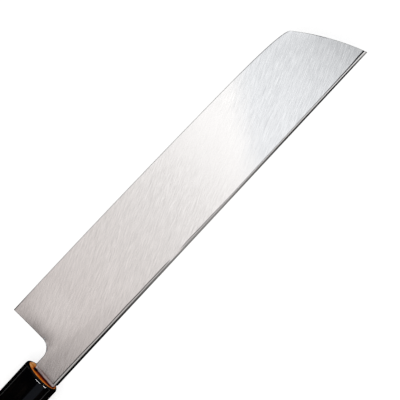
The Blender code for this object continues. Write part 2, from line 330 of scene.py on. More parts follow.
def satin_steel():
    """Hollow-ground face: slanting marks, painted shade, and a painted reflection's edge: a darker,
    cooler tip side.
    """
    finish = Finish("satin_steel", metallic=1.0)
    streaks, broad = add_marks(finish, MARKS_ANGLE)
    along = finish.axis(finish.turned(stretch=(TIP_X, 1.0, 1.0), centre=KNIFE), "X")
    strength = finish.ramp(along, *((place, (value, value, value)) for place, value in MARKS_STRENGTH))
    streaks = finish.sum('MULTIPLY_ADD', finish.sum('SUBTRACT', streaks, 0.5), strength, 0.5)
    colour = finish.ramp(streaks, (0.30, (0.617, 0.610, 0.604)), (0.70, (0.933, 0.925, 0.918)))
    # A darker, cooler copy of the colour for the tip side: the painted edge of the bright reflection
    painted_dim_colour = finish.ramp(streaks, (0.30, (0.465, 0.477, 0.493)), (0.70, (0.865, 0.877, 0.891)))
    across = finish.axis(finish.turned(PAINTED_DIM_TIP_ANGLE, centre=KNIFE + Vector(PAINTED_DIM_TIP_START)), "Y")
    wavering = finish.sum('MULTIPLY_ADD', finish.sum('SUBTRACT', broad, 0.5), 0.014, across)
    painted_dim_share = finish.sum('SUBTRACT', 1.0, finish.sum.ease(wavering, -0.012, 0.010))
    colour = finish.blend(painted_dim_share, colour, painted_dim_colour)
    # The shade attribute blends painted shade into the colour
    finish.link(finish.blend(finish.attribute("shade"), colour, (0.004, 0.003, 0.006)), "Base Color")
    finish.brushed(0.45, MARKS_ANGLE)
    return finish.material


def bright_steel():
    """Rims beside the hollow and the honed line, flattened on a fine stone."""
    finish = Finish("bright_steel", metallic=1.0)
    scratches = finish.grain(finish.turned(0.0, (0.010, 0.0004, 0.01)), 3.0)
    colour = finish.ramp(scratches, (0.3, (0.64, 0.63, 0.62)), (0.7, (0.74, 0.73, 0.72)))
    # The shade attribute blends painted shade into the colour
    finish.link(finish.blend(finish.attribute("shade"), colour, (0.010, 0.008, 0.006)), "Base Color")
    finish.link(finish.sum('MULTIPLY_ADD', scratches, 0.12, 0.12), "Roughness")
    finish.relief(scratches, 0.000003)
    return finish.material


def tang_steel():
    """Tang as the belt grinder left it, sooty where burnt into the wood, with painted glint and gap
    shade.
    """
    finish = Finish("tang_steel", metallic=0.25)
    scratches = finish.grain(finish.turned(pi / 2, (0.003, 0.0006, 0.01)), 3.0)
    steel = finish.ramp(scratches, (0.3, (0.40, 0.37, 0.37)), (0.7, (0.64, 0.595, 0.595)))
    own_place = finish.turned(centre=KNIFE)
    along = finish.axis(own_place, "X")
    across = finish.axis(own_place, "Y")
    # Painted glint: the top corner turns bright
    painted_glint_corner = finish.sum.ease(across, TANG_HIGH - 0.0018, TANG_HIGH - 0.0006)
    steel = finish.blend(finish.sum('MULTIPLY', painted_glint_corner, 0.8), steel, (0.90, 0.88, 0.88))
    ragged = finish.sum('MULTIPLY_ADD', scratches, 0.0006, along)
    clean = finish.sum.ease(ragged, 0.0005, 0.0012)
    # Painted shade: black in the gap beside the top corner, at the mouth
    corner = finish.sum.ease(across, TANG_HIGH - 0.0034, TANG_HIGH - 0.0024)
    outside = finish.sum.ease(ragged, 0.0009, 0.0014)
    painted_gap_shade = finish.sum('MULTIPLY', corner, finish.sum('SUBTRACT', 1.0, outside))
    sooty = finish.blend(clean, (0.100, 0.010, 0.002), steel)
    finish.link(finish.blend(painted_gap_shade, sooty, (0.002, 0.002, 0.002)), "Base Color")
    finish.shader.inputs["Specular IOR Level"].default_value = 0.10
    finish.link(finish.sum('MULTIPLY_ADD', scratches, 0.15, 0.45), "Roughness")
    finish.relief(scratches, 0.00001)
    return finish.material


def spine_steel():
    """Spine, which mirrors nothing: painted reflection, black near the handle and the tip and grey
    midway.
    """
    finish = Finish("spine_steel")
    along = finish.axis(finish.turned(centre=KNIFE), "X")
    files = finish.grain(finish.turned(0.0, (0.030, 0.0006, 0.0006)), 3.0)
    share = finish.sum('DIVIDE', along, TIP_X)
    wavering = finish.sum('MULTIPLY_ADD', finish.sum('SUBTRACT', files, 0.5), 0.06, share)
    finish.link(finish.ramp(
        wavering,
        (0.00, (0.005, 0.005, 0.005)),
        (0.16, (0.012, 0.011, 0.011)),
        (0.24, (0.070, 0.065, 0.062)),
        (0.32, (0.200, 0.190, 0.184)),
        (0.42, (0.330, 0.315, 0.306)),
        (0.55, (0.360, 0.343, 0.333)),
        (0.66, (0.220, 0.210, 0.204)),
        (0.76, (0.060, 0.057, 0.055)),
        (0.95, (0.012, 0.012, 0.012)),
        (1.00, (0.380, 0.365, 0.355)),
    ), "Base Color")
    finish.shader.inputs["Specular IOR Level"].default_value = 0.0
    finish.link(finish.sum('MULTIPLY_ADD', files, 0.25, 0.40), "Roughness")
    finish.relief(files, 0.00001)
    return finish.material


def bevel_steel():
    """Bevelled face: hazy soft iron, and a brighter band of hard steel along the edge."""
    finish = Finish("bevel_steel", metallic=1.0)
    streaks, _ = add_marks(finish, pi / 2)
    colour = finish.ramp(streaks, (0.36, (0.470, 0.460, 0.455)), (0.64, (0.580, 0.570, 0.565)))
    wave = finish.grain(finish.turned(0.0, (0.018, 0.006, 0.01)), 4.0, 0.6)
    height = finish.sum('MULTIPLY_ADD', wave, 0.0055, finish.attribute("from_edge"))
    iron = finish.sum.ease(height, 0.0118, 0.0136)
    finish.link(finish.blend(iron, (0.74, 0.735, 0.73), colour), "Base Color")
    finish.link(finish.sum('MULTIPLY_ADD', iron, 0.22, 0.16), "Roughness")
    return finish.material


def black_horn(name, shine):
    """Buffalo horn with faint brown fibres along its length; shine is how strongly it mirrors."""
    finish = Finish(name)
    fibres = finish.grain(finish.turned(0.0, (0.030, 0.0011, 0.0011)), 4.0, 0.6, 0.3)
    patches = finish.grain(finish.turned(0.0, (0.020, 0.006, 0.006)), 2.0)
    both = finish.sum('MULTIPLY', fibres, patches)
    finish.link(finish.ramp(both, (0.28, (0.0008, 0.0008, 0.0010)), (0.55, (0.0070, 0.0050, 0.0038))),
                "Base Color")
    scuffs = finish.grain(finish.turned(0.4, (0.004, 0.0004, 0.002)), 4.0)
    finish.link(finish.sum('MULTIPLY_ADD', scuffs, 0.02, 0.035), "Roughness")
    finish.shader.inputs["Specular IOR Level"].default_value = shine
    finish.relief(fibres, 0.000002)
    return finish.material


def magnolia_wood():
    """Pale magnolia, oiled by the hand: straight fine grain, faint growth bands, short pores."""
    finish = Finish("magnolia_wood")
    heart = KNIFE + Vector((0.0, 0.060, -0.045))
    bands_place = finish.turned(radians(0.6), (0.300, 0.0135, 0.0135), heart)
    rings = finish.tree.nodes.new('ShaderNodeTexWave')
    rings.wave_type = 'RINGS'
    rings.rings_direction = 'X'
    rings.wave_profile = 'SAW'
    rings.inputs["Scale"].default_value = 1.6
    rings.inputs["Distortion"].default_value = 1.6
    rings.inputs["Detail"].default_value = 2.0
    rings.inputs["Detail Scale"].default_value = 0.8
    finish.tree.links.new(bands_place, rings.inputs["Vector"])
    fibres = finish.grain(finish.turned(0.0, (0.045, 0.0005, 0.0005)), 4.0, 0.65)
    pores = finish.grain(finish.turned(0.0, (0.006, 0.00018, 0.00018)), 1.0)
    pore_marks = finish.sum.ease(pores, 0.66, 0.74)
    bands = finish.ramp(
        rings.outputs["Fac"],
        (0.00, (0.660, 0.490, 0.290)),
        (0.70, (0.560, 0.380, 0.200)),
        (1.00, (0.380, 0.225, 0.100)),
    )
    colour = finish.blend(finish.sum('MULTIPLY', fibres, 0.42), bands, (0.74, 0.56, 0.34))
    colour = finish.blend(finish.sum('MULTIPLY', pore_marks, 0.60), colour, (0.24, 0.13, 0.06))
    finish.link(colour, "Base Color")
    finish.link(finish.sum('MULTIPLY_ADD', fibres, 0.20, 0.40), "Roughness")
    finish.relief(finish.sum('SUBTRACT', fibres, pore_marks), 0.00004, 0.6)
    return finish.material


def scorched_wood():
    """End of the tenon round the tang: toasted orange, burnt black toward the slot, painted shade by
    the tang's top.
    """
    finish = Finish("scorched_wood", roughness=0.6)
    char_and_painted_shade = finish.attribute("char_and_painted_shade")
    fibres = finish.grain(finish.turned(0.0, (0.0020, 0.0009, 0.0009)), 3.0)
    burnt = finish.sum('ADD', char_and_painted_shade, finish.sum('MULTIPLY_ADD', fibres, 0.60, -0.30))
    finish.link(finish.ramp(
        burnt,
        (0.02, (0.970, 0.520, 0.210)),
        (0.16, (0.940, 0.270, 0.004)),
        (0.38, (0.660, 0.056, 0.001)),
        (0.62, (0.220, 0.012, 0.001)),
        (0.80, (0.004, 0.002, 0.002)),
    ), "Base Color")
    finish.shader.inputs["Specular IOR Level"].default_value = 0.05
    finish.relief(fibres, 0.00012, 0.8)
    return finish.material


# Blade

def flat_arc(start, end, bulge, t):
    """Point at share t of a flat arc that rises by bulge on the left of its chord."""
    along = end - start
    across = Vector((-along.y, along.x)).normalized()
    return start + along * t + across * (bulge * 4 * t * (1 - t))


def edge_line(t):
    corner = 1 - CORNER_ON_EDGE / (MEETING - HEEL_CORNER).length
    return flat_arc(HEEL_CORNER, MEETING, EDGE_BULGE, corner * t)


def end_line(t):
    corner = CORNER_ON_END / (TIP_CORNER - MEETING).length
    return flat_arc(MEETING, TIP_CORNER, END_BULGE, mix(1.0, corner, t))


def edge_and_corner():
    """Points along the edge and round its corner, up to the slanted end."""
    points = [edge_line(k / EDGE_COLUMNS) for k in range(EDGE_COLUMNS + 1)]
    start = points[-1]
    end = end_line(1.0)
    small = 0.01
    leaving = start - edge_line(1 - small)
    arriving = end - end_line(1 - small)
    peak = start + leaving * ((end - start).cross(arriving) / leaving.cross(arriving))
    for k in range(1, CORNER_COLUMNS + 1):
        t = k / CORNER_COLUMNS
        points.append(start.lerp(peak, t).lerp(peak.lerp(end, t), t))
    return points


def heel_bow(share):
    return HEEL_BOW * 4 * share * (1 - share)


def heel_line_x(y):
    return NECK_LENGTH + (HEEL_HEIGHT - y) * tan(HEEL_RAKE) + heel_bow(y / HEEL_HEIGHT)


ARC_CENTRE_Y = NECK_HEIGHT + HEEL_ARC_RADIUS
ARC_TOP_Y = ARC_CENTRE_Y - HEEL_ARC_RADIUS * sin(HEEL_RAKE)
ARC_CENTRE_X = heel_line_x(ARC_TOP_Y) - HEEL_ARC_RADIUS * cos(HEEL_RAKE)


def along_stations(stations, x, column):
    """Value of a column at x, eased between the stations before and after it."""
    value = stations[0][column]
    for before, after in zip(stations, stations[1:]):
        if x > before[0]:
            value = mix(before[column], after[column], smooth((x - before[0]) / (after[0] - before[0])))
    return value


def rim_width(x):
    return along_stations(RIM_STATIONS, x, 1)


def crease_width(x):
    return along_stations(RIM_STATIONS, x, 2)


def rim_presence(x):
    """1 where the rim along the spine stands, 0 where it is ground away."""
    start, end = GROUND_OVER
    run_out = 0.002
    return max(smooth((start - x) / run_out + 1), smooth((x - end) / run_out + 1))


def crease_painted_shade(x, from_spine):
    """Painted shade of the crease at a point, strongest along its middle."""
    across = (from_spine - rim_width(x)) / crease_width(x)
    return along_stations(RIM_STATIONS, x, 3) * smooth(2.2 * (1 - abs(2 * across - 1)))


def lower_rows(top, x):
    """Distances from the spine of the rows that neck and body share."""
    rim = rim_width(x)
    foot = rim + crease_width(x)
    support = 0.0001
    rows = [0.0, OUTLINE_ROUND + support, rim - support, rim]
    rows += [mix(rim, foot, t) for t in (0.25, 0.5, 0.75)]
    rows += [foot, foot + support]
    rows += [mix(foot, top, k / LOWER_ROWS) for k in range(1, LOWER_ROWS)]
    return rows + [top - OUTLINE_ROUND - support, top]


def upper_rows(bottom, length):
    """Distances from the spine of the body's further rows, up to the edge."""
    ridge = max(length - BEVEL_WIDTH, bottom + RIM_EDGE)
    rows = [mix(bottom, ridge, k / MIDDLE_ROWS) for k in range(1, MIDDLE_ROWS + 1)]
    rows += [mix(ridge, length - RIM_EDGE, k / BEVEL_ROWS) for k in range(1, BEVEL_ROWS + 1)]
    return rows + [mix(length - RIM_EDGE, length - HONED_WIDTH, t) for t in (0.5, 1.0)] + [length]


def body_columns():
    """Columns of (point, distance from spine, distance from edge) from the heel to the end."""
    tops = edge_and_corner()
    travelled = [0.0]
    for before, after in zip(tops, tops[1:]):
        travelled.append(travelled[-1] + (after - before).length)
    columns = []
    for top, distance_along in zip(tops, travelled):
        u = distance_along / travelled[-1]
        foot = Vector((mix(heel_line_x(0.0), TIP_X, u), 0.0))
        length = (top - foot).length
        shared = mix(ARC_TOP_Y / cos(HEEL_RAKE), 0.85 * (length - BEVEL_WIDTH), u)
        column = []
        for distance in lower_rows(shared, foot.x) + upper_rows(shared, length):
            v = distance / length
            point = foot.lerp(top, v)
            point += (end_line(v) - end_line(0.0).lerp(end_line(1.0), v)) * u
            point.x += heel_bow(v) * (1 - u)
            column.append((point, distance, length - distance))
        columns.append(column)
    return columns


def neck_columns(heel_foot_x, heel_top_x):
    """Columns of the same kind from the shoulder to the heel line, up to the neck's outline."""
    places = []
    for k in range(NECK_COLUMNS):
        places.append((mix(SHOULDER_X, ARC_CENTRE_X, k / NECK_COLUMNS), NECK_HEIGHT))
    for k in range(ARC_COLUMNS):
        turn = (pi / 2 - HEEL_RAKE) * k / ARC_COLUMNS
        x = ARC_CENTRE_X + HEEL_ARC_RADIUS * sin(turn)
        places.append((x, ARC_CENTRE_Y - HEEL_ARC_RADIUS * cos(turn)))
    columns = []
    for x, top in places:
        lean = (heel_foot_x - heel_top_x) * smooth((x - SHOULDER_X) / (heel_top_x - SHOULDER_X))
        column = []
        for distance in lower_rows(top, x):
            point = Vector((x + lean * (1 - distance / top), distance))
            column.append((point, distance, HEEL_HEIGHT - distance))
        columns.append(column)
    return columns


def hollow_border(from_heel):
    """Distance from the spine at which the hollow starts."""
    return mix(HOLLOW_START_RIM, RIM_SPINE, smooth(from_heel / HOLLOW_START_LENGTH))


def shade(point, from_spine, from_edge):
    """Painted shade of the band beside the spine, of its crease, of the honed line and by the mouth."""
    from_heel = point.x - heel_line_x(point.y)
    inside = smooth((hollow_border(from_heel) - from_spine) / BAND_BORDER + 0.5)
    band = BAND_DARKNESS * inside * (1 - smooth(from_heel / BAND_LENGTH)) ** 1.5
    honed = along_stations(EDGE_STATIONS, point.x, 1) * smooth(2 - 2 * from_edge / RIM_EDGE)
    near_mouth = 1 - smooth((point.x - SHOULDER_X) / MOUTH_SHADE_LENGTH)
    mouth = MOUTH_DARKNESS * near_mouth * (1 - from_spine / HEEL_HEIGHT) ** 2
    return max(band, honed, mouth, crease_painted_shade(point.x, from_spine))


def face_depth(point, from_spine, from_edge):
    """Depth of the hollow-ground face below its rims."""
    rim = rim_width(point.x)
    standing = rim_presence(point.x)
    if from_spine <= rim:
        return mix(RIM_STEP, RIM_SLOPE * (rim - from_spine), standing)
    honed = HONED_DROP * max(0.0, 1 - from_edge / HONED_WIDTH)
    reach = from_spine + from_edge - RIM_EDGE
    share = min((from_spine - rim) / (reach - rim), 1.0)
    in_crease = smooth((from_spine - rim) / crease_width(point.x))
    step = RIM_STEP * (1 - share) * mix(1.0, in_crease, standing)
    from_heel = point.x - heel_line_x(point.y)
    border = hollow_border(from_heel)
    across = (from_spine - border) / (reach - border)
    depth = step + honed
    if 0.0 < across < 1.0:
        depth += HOLLOW_DEPTH * 4 * across * (1 - across) * smooth(from_heel / HOLLOW_RUN_IN)
    return depth


def heel_roll(point):
    """Rounding of the face beside the heel line, which fades toward the edge's corner."""
    nearness = 1 - (point.x - heel_line_x(point.y)) / HEEL_ROLL_WIDTH
    if nearness <= 0.0 or point.y < ARC_CENTRE_Y - HEEL_ARC_RADIUS:
        return 0.0
    to_edge = smooth((HEEL_HEIGHT - point.y) / HEEL_ROLL_EDGE_FADE)
    fade = to_edge * smooth((point.y - NECK_HEIGHT) / HEEL_ROLL_NECK_FADE)
    return HEEL_ROLL * min(nearness, 1.0) ** 2 * fade


def blade_thickness(x):
    return mix(SPINE_THICKNESS, TIP_THICKNESS, x / TIP_X)


def build_blade():
    body = body_columns()
    rows = len(lower_rows(HEEL_HEIGHT, 0.0))
    heel_top = body[0][rows - 1][0]
    neck = neck_columns(heel_line_x(0.0), heel_top.x)
    bm = bmesh.new()
    edge_distance = bm.verts.layers.float.new("from_edge")
    shading = bm.verts.layers.float.new("shade")
    upper = []
    lower = []
    for column in neck + body:
        up = []
        down = []
        for point, from_spine, from_edge in column:
            thick = blade_thickness(point.x)
            if len(column) > rows:
                thick = mix(EDGE_THICKNESS, thick, min(1.0, from_edge / BEVEL_WIDTH))
            depth = face_depth(point, from_spine, from_edge) + heel_roll(point)
            up.append(bm.verts.new(KNIFE + Vector((point.x, point.y, -depth))))
            down.append(bm.verts.new(KNIFE + Vector((point.x, point.y, -thick))))
            up[-1][edge_distance] = from_edge
            up[-1][shading] = shade(point, from_spine, from_edge)
            down[-1][edge_distance] = from_edge
        upper.append(up)
        lower.append(down)
    FACE, RIM, SPINE, BEVEL = range(4)
    ridge_row = rows + MIDDLE_ROWS - 1
    spine_line = {column[0] for column in upper}
    honed_strip = len(upper[-1]) - 2
    for i in range(len(upper) - 1):
        count = min(len(upper[i]), len(upper[i + 1]))
        for j in range(count - 1):
            on_rim = j < RIM_STRIPS or j == honed_strip
            above = bm.faces.new((upper[i][j], upper[i + 1][j], upper[i + 1][j + 1], upper[i][j + 1]))
            above.material_index = RIM if on_rim else FACE
            below = bm.faces.new((lower[i][j], lower[i][j + 1], lower[i + 1][j + 1], lower[i + 1][j]))
            below.material_index = BEVEL if j >= ridge_row else FACE
    partner = {}
    for up, down in zip(upper, lower):
        partner.update(zip(up, down))
    weight = bm.edges.layers.float.new("bevel_weight_edge")
    edge_tops = {column[-1] for column in upper[len(neck):]}
    end_line_verts = set(upper[-1])
    shoulder_verts = set(upper[0])
    outlines = [edge for edge in bm.edges if edge.is_boundary and all(v in partner for v in edge.verts)]
    for outline in outlines:
        a, b = outline.verts
        side = bm.faces.new((a, b, partner[b], partner[a]))
        along_edge = a in edge_tops and b in edge_tops
        along_end = a in end_line_verts and b in end_line_verts
        at_shoulder = a in shoulder_verts and b in shoulder_verts
        side.material_index = SPINE if a in spine_line and b in spine_line else RIM
        if not along_edge:
            thinnest = min((a.co - partner[a].co).length, (b.co - partner[b].co).length)
            full = END_ROUND_SHARE if along_end else SMALL_ROUND_SHARE if at_shoulder else 1.0
            outline[weight] = min(full, thinnest / (2 * OUTLINE_ROUND))
            bm.edges.get((partner[a], partner[b]))[weight] = SMALL_ROUND_SHARE
    bmesh.ops.recalc_face_normals(bm, faces=bm.faces)
    finishes = [satin_steel(), bright_steel(), spine_steel(), bevel_steel()]
    blade = add_piece("blade_forged", bm, finishes)
    soften = blade.modifiers.new("softened_corners", 'BEVEL')
    soften.limit_method = 'WEIGHT'
    soften.width = OUTLINE_ROUND
    soften.segments = 2
    soften.use_clamp_overlap = False
    # The softened corners take the spine's painted reflection
    soften.material = SPINE
    return blade


def build_tang():
    """Front of the tang, from inside the neck to inside the handle."""
    bm = bmesh.new()
    ends = []
    for x in (TANG_INNER_X, SHOULDER_X + 0.002):
        corners = []
        for y, z in ((TANG_LOW, -1), (TANG_HIGH, -1), (TANG_HIGH, 1), (TANG_LOW, 1)):
            half = SPINE_THICKNESS / 2 - TANG_FACE_STEP
            corners.append(bm.verts.new(KNIFE + Vector((x, y, GRIP_LEVEL + z * half))))
        ends.append(corners)
    bm.faces.new(ends[0])
    bm.faces.new(ends[1])
    for k in range(4):
        n = (k + 1) % 4
        bm.faces.new((ends[0][k], ends[0][n], ends[1][n], ends[1][k]))
    bmesh.ops.recalc_face_normals(bm, faces=bm.faces)
    tang = add_piece("tang_front", bm, [tang_steel()])
    soften = tang.modifiers.new("softened_corners", 'BEVEL')
    soften.width = 0.0003
    soften.segments = 2
    return tang


def into_scene(name, data):
    """A new object in the scene, which shows a mesh, light or camera."""
    thing = bpy.data.objects.new(name, data)
    bpy.context.scene.collection.objects.link(thing)
    return thing


def smooth_piece(name, mesh):
    mesh.shade_smooth()
    mesh.set_sharp_from_angle(angle=SHARP_FROM)
    piece = into_scene(name, mesh)
    return piece


def add_piece(name, bm, finishes):
    mesh = bpy.data.meshes.new(name)
    bm.to_mesh(mesh)
    bm.free()
    for finish in finishes:
        mesh.materials.append(finish)
    return smooth_piece(name, mesh)


# Handle and ferrule: one Geometry Nodes tree makes both oval, tapering bars

LOFT_SIZES = ("Length", "Front Height", "Front Depth", "Back Height", "Back Depth", "Front Round",
              "Back Round", "Ridge Rise", "Ridge Share", "Mouth Height", "Mouth Depth", "Mouth Recess")


def oval_bar_tree():
    """Oval bar along X whose lower cheek has a soft ridge, with rounded ends and a recessed mouth."""
    tree = bpy.data.node_groups.new("oval_bar", 'GeometryNodeTree')
    face = tree.interface
    face.new_socket(name="Geometry", in_out='INPUT', socket_type='NodeSocketGeometry')
    for name in LOFT_SIZES:
        face.new_socket(name=name, in_out='INPUT', socket_type='NodeSocketFloat')
    for name in ("Around", "Along"):
        face.new_socket(name=name, in_out='INPUT', socket_type='NodeSocketInt')
    face.new_socket(name="Finish", in_out='INPUT', socket_type='NodeSocketMaterial')
    face.new_socket(name="Geometry", in_out='OUTPUT', socket_type='NodeSocketGeometry')
    given = tree.nodes.new('NodeGroupInput').outputs
    sum_ = Sums(tree)

    bar = tree.nodes.new('GeometryNodeMeshCylinder')
    bar.fill_type = 'TRIANGLE_FAN'
    bar.inputs["Fill Segments"].default_value = 5
    bar.inputs["Radius"].default_value = 1.0
    bar.inputs["Depth"].default_value = 1.0
    tree.links.new(given["Around"], bar.inputs["Vertices"])
    tree.links.new(given["Along"], bar.inputs["Side Segments"])

    split = tree.nodes.new('ShaderNodeSeparateXYZ')
    tree.links.new(tree.nodes.new('GeometryNodeInputPosition').outputs[0], split.inputs[0])
    a, b, level = split.outputs
    radial = sum_('SQRT', sum_('ADD', sum_('MULTIPLY', a, a), sum_('MULTIPLY', b, b)))
    safe = sum_('MAXIMUM', radial, 1e-6)
    along_y = sum_('DIVIDE', a, safe)
    along_z = sum_('DIVIDE', b, safe)

    # The first and last stretch of rings turn round the ends, and the rest run straight
    end_share = 0.2
    rise = sum_('ADD', level, 0.5)

    def end_turn(into_end):
        """How far round its quarter turn a ring is, from how far it is into the end's stretch."""
        return sum_('MULTIPLY', sum_('DIVIDE', into_end, end_share, clamp=True), pi / 2)

    front_turn = end_turn(sum_('SUBTRACT', rise, 1 - end_share))
    back_turn = end_turn(sum_('SUBTRACT', end_share, rise))
    middle = sum_('DIVIDE', sum_('SUBTRACT', rise, end_share), 1 - 2 * end_share, clamp=True)
    behind_front = sum_('SUBTRACT', given["Length"], given["Front Round"])
    straight = sum_('SUBTRACT', behind_front, given["Back Round"])
    x = sum_('MULTIPLY_ADD', middle, straight, given["Back Round"])
    x = sum_('MULTIPLY_ADD', sum_('SINE', front_turn), given["Front Round"], x)
    x = sum_('SUBTRACT', x, sum_('MULTIPLY', sum_('SINE', back_turn), given["Back Round"]))

    def drawn_in(turn, radius):
        """How far a ring of a rounded end lies inside the bar's full outline."""
        return sum_('MULTIPLY', sum_('SUBTRACT', 1.0, sum_('COSINE', turn)), given[radius])

    inset = sum_('ADD', drawn_in(front_turn, "Front Round"), drawn_in(back_turn, "Back Round"))
    share = sum_('DIVIDE', x, given["Length"])

    def tapered(back, front):
        size = sum_('MULTIPLY_ADD', share, sum_('SUBTRACT', given[front], given[back]), given[back])
        return sum_('SUBTRACT', sum_('MULTIPLY', size, 0.5), inset)

    half_height = tapered("Back Height", "Front Height")
    half_depth = tapered("Back Depth", "Front Depth")
    y = sum_('MULTIPLY', half_height, along_y)
    oval_z = sum_('MULTIPLY', half_depth, along_z)
    peak = sum_('ADD', half_depth, sum_('DIVIDE', given["Ridge Rise"], given["Ridge Share"]))
    flank = sum_('MULTIPLY', peak, sum_('SUBTRACT', sum_('ABSOLUTE', along_y), 1.0))
    lowered = sum_('MULTIPLY', sum_('SUBTRACT', flank, oval_z), given["Ridge Share"])
    z = sum_('MULTIPLY_ADD', lowered, sum_('LESS_THAN', along_z, 0.0), oval_z)

    # A cap's inner rings lie at 0.8, 0.6, 0.4 and 0.2 of its radius. In front, the first of them
    # is the mouth's rim and the second its foot.
    foot_ring = 0.6
    inside_front = sum_('MULTIPLY', sum_('GREATER_THAN', rise, 0.999), sum_('LESS_THAN', radial, 0.9))
    has_mouth = sum_('MULTIPLY', inside_front, sum_('GREATER_THAN', given["Mouth Height"], 0.0))
    shrink = sum_('DIVIDE', radial, foot_ring, clamp=True)
    sunk = sum_('MULTIPLY', sum_('LESS_THAN', radial, 0.7), given["Mouth Recess"])
    y = sum_('MULTIPLY', y, radial)
    z = sum_('MULTIPLY', z, radial)

    def mouth_or(plain, size, along):
        """The mouth's own place in the rings that make it, and the plain one elsewhere."""
        mouth = sum_('MULTIPLY', sum_('MULTIPLY', given[size], 0.5), sum_('MULTIPLY', along, shrink))
        return sum_('MULTIPLY_ADD', has_mouth, sum_('SUBTRACT', mouth, plain), plain)

    x = sum_('SUBTRACT', x, sum_('MULTIPLY', has_mouth, sunk))
    y = mouth_or(y, "Mouth Height", along_y)
    z = mouth_or(z, "Mouth Depth", along_z)
    join = tree.nodes.new('ShaderNodeCombineXYZ')
    for value, socket in zip((x, y, z), join.inputs):
        tree.links.new(value, socket)
    shape = tree.nodes.new('GeometryNodeSetPosition')
    tree.links.new(bar.outputs["Mesh"], shape.inputs["Geometry"])
    tree.links.new(join.outputs[0], shape.inputs["Position"])
    realize = tree.nodes.new('GeometryNodeRealizeInstances')
    tree.links.new(shape.outputs[0], realize.inputs[0])
    paint = tree.nodes.new('GeometryNodeSetMaterial')
    tree.links.new(realize.outputs[0], paint.inputs["Geometry"])
    tree.links.new(given["Finish"], paint.inputs["Material"])
    tree.links.new(paint.outputs[0], tree.nodes.new('NodeGroupOutput').inputs[0])
    return tree


def build_oval_bar(name, tree, back_x, sizes, finish):
    """A mesh from the oval bar tree, its back end at back_x in the knife's own lines."""
    maker = into_scene(name + "_maker", bpy.data.meshes.new(name + "_maker"))
    modifier = maker.modifiers.new("oval_bar", 'NODES')
    modifier.node_group = tree
    values = dict(sizes, Finish=finish)
    for item in tree.interface.items_tree:
        if item.in_out == 'INPUT' and item.name in values:
            modifier[item.identifier] = values[item.name]
    bpy.context.view_layer.update()
    evaluated = maker.evaluated_get(bpy.context.evaluated_depsgraph_get())
    mesh = bpy.data.meshes.new_from_object(evaluated)
    bpy.data.objects.remove(maker)
    mesh.name = name
    mesh.transform(Matrix.Translation(KNIFE + Vector((back_x, GRIP_CENTRE, GRIP_LEVEL))))
    bm = bmesh.new()
    bm.from_mesh(mesh)
    bmesh.ops.remove_doubles(bm, verts=bm.verts, dist=1e-7)
    bmesh.ops.recalc_face_normals(bm, faces=bm.faces)
    bm.to_mesh(mesh)
    bm.free()
    return smooth_piece(name, mesh)


def build_ferrule(tree):
    sizes = {
        "Length": FERRULE_LENGTH,
        "Front Height": FERRULE_HEIGHT, "Front Depth": FERRULE_DEPTH,
        "Back Height": FERRULE_HEIGHT, "Back Depth": FERRULE_DEPTH,
        "Front Round": MOUTH_ROUND, "Back Round": JOINT_ROUND,
        "Ridge Rise": RIDGE_RISE, "Ridge Share": RIDGE_SHARE,
        "Mouth Height": BORE_HEIGHT, "Mouth Depth": BORE_DEPTH, "Mouth Recess": MOUTH_RECESS,
        "Around": BAR_COLUMNS, "Along": 50,
    }
    polished = black_horn("black_horn", HORN_SHINE)
    ferrule = build_oval_bar("ferrule_horn", tree, -FERRULE_LENGTH, sizes, polished)
    # Burning in the tang has left the front dull, so the bright neck hardly shows in it
    ferrule.data.materials.append(black_horn("dull_horn", DULL_SHINE))
    for face in ferrule.data.polygons:
        if face.normal.x > DULL_FACING:
            face.material_index = len(ferrule.data.materials) - 1
    return ferrule


def build_grip(tree):
    sizes = {
        "Length": HANDLE_LENGTH - FERRULE_LENGTH,
        "Front Height": FERRULE_HEIGHT, "Front Depth": FERRULE_DEPTH,
        "Back Height": BUTT_HEIGHT, "Back Depth": BUTT_DEPTH,
        "Front Round": JOINT_ROUND, "Back Round": BUTT_ROUND,
        "Ridge Rise": RIDGE_RISE, "Ridge Share": RIDGE_SHARE,
        "Mouth Height": 0.0, "Mouth Depth": 0.0, "Mouth Recess": 0.0,
        "Around": BAR_COLUMNS, "Along": 60,
    }
    return build_oval_bar("grip_wood", tree, -HANDLE_LENGTH, sizes, magnolia_wood())


# Scorched end of the tenon, which fills the ferrule's mouth round the tang

def boxed_turn(turn, power=0.3):
    """Cosine and sine pushed outward, so that the ring they draw is a rounded rectangle."""
    c = cos(turn)
    s = sin(turn)
    return (abs(c) ** power) * (1 if c >= 0 else -1), (abs(s) ** power) * (1 if s >= 0 else -1)


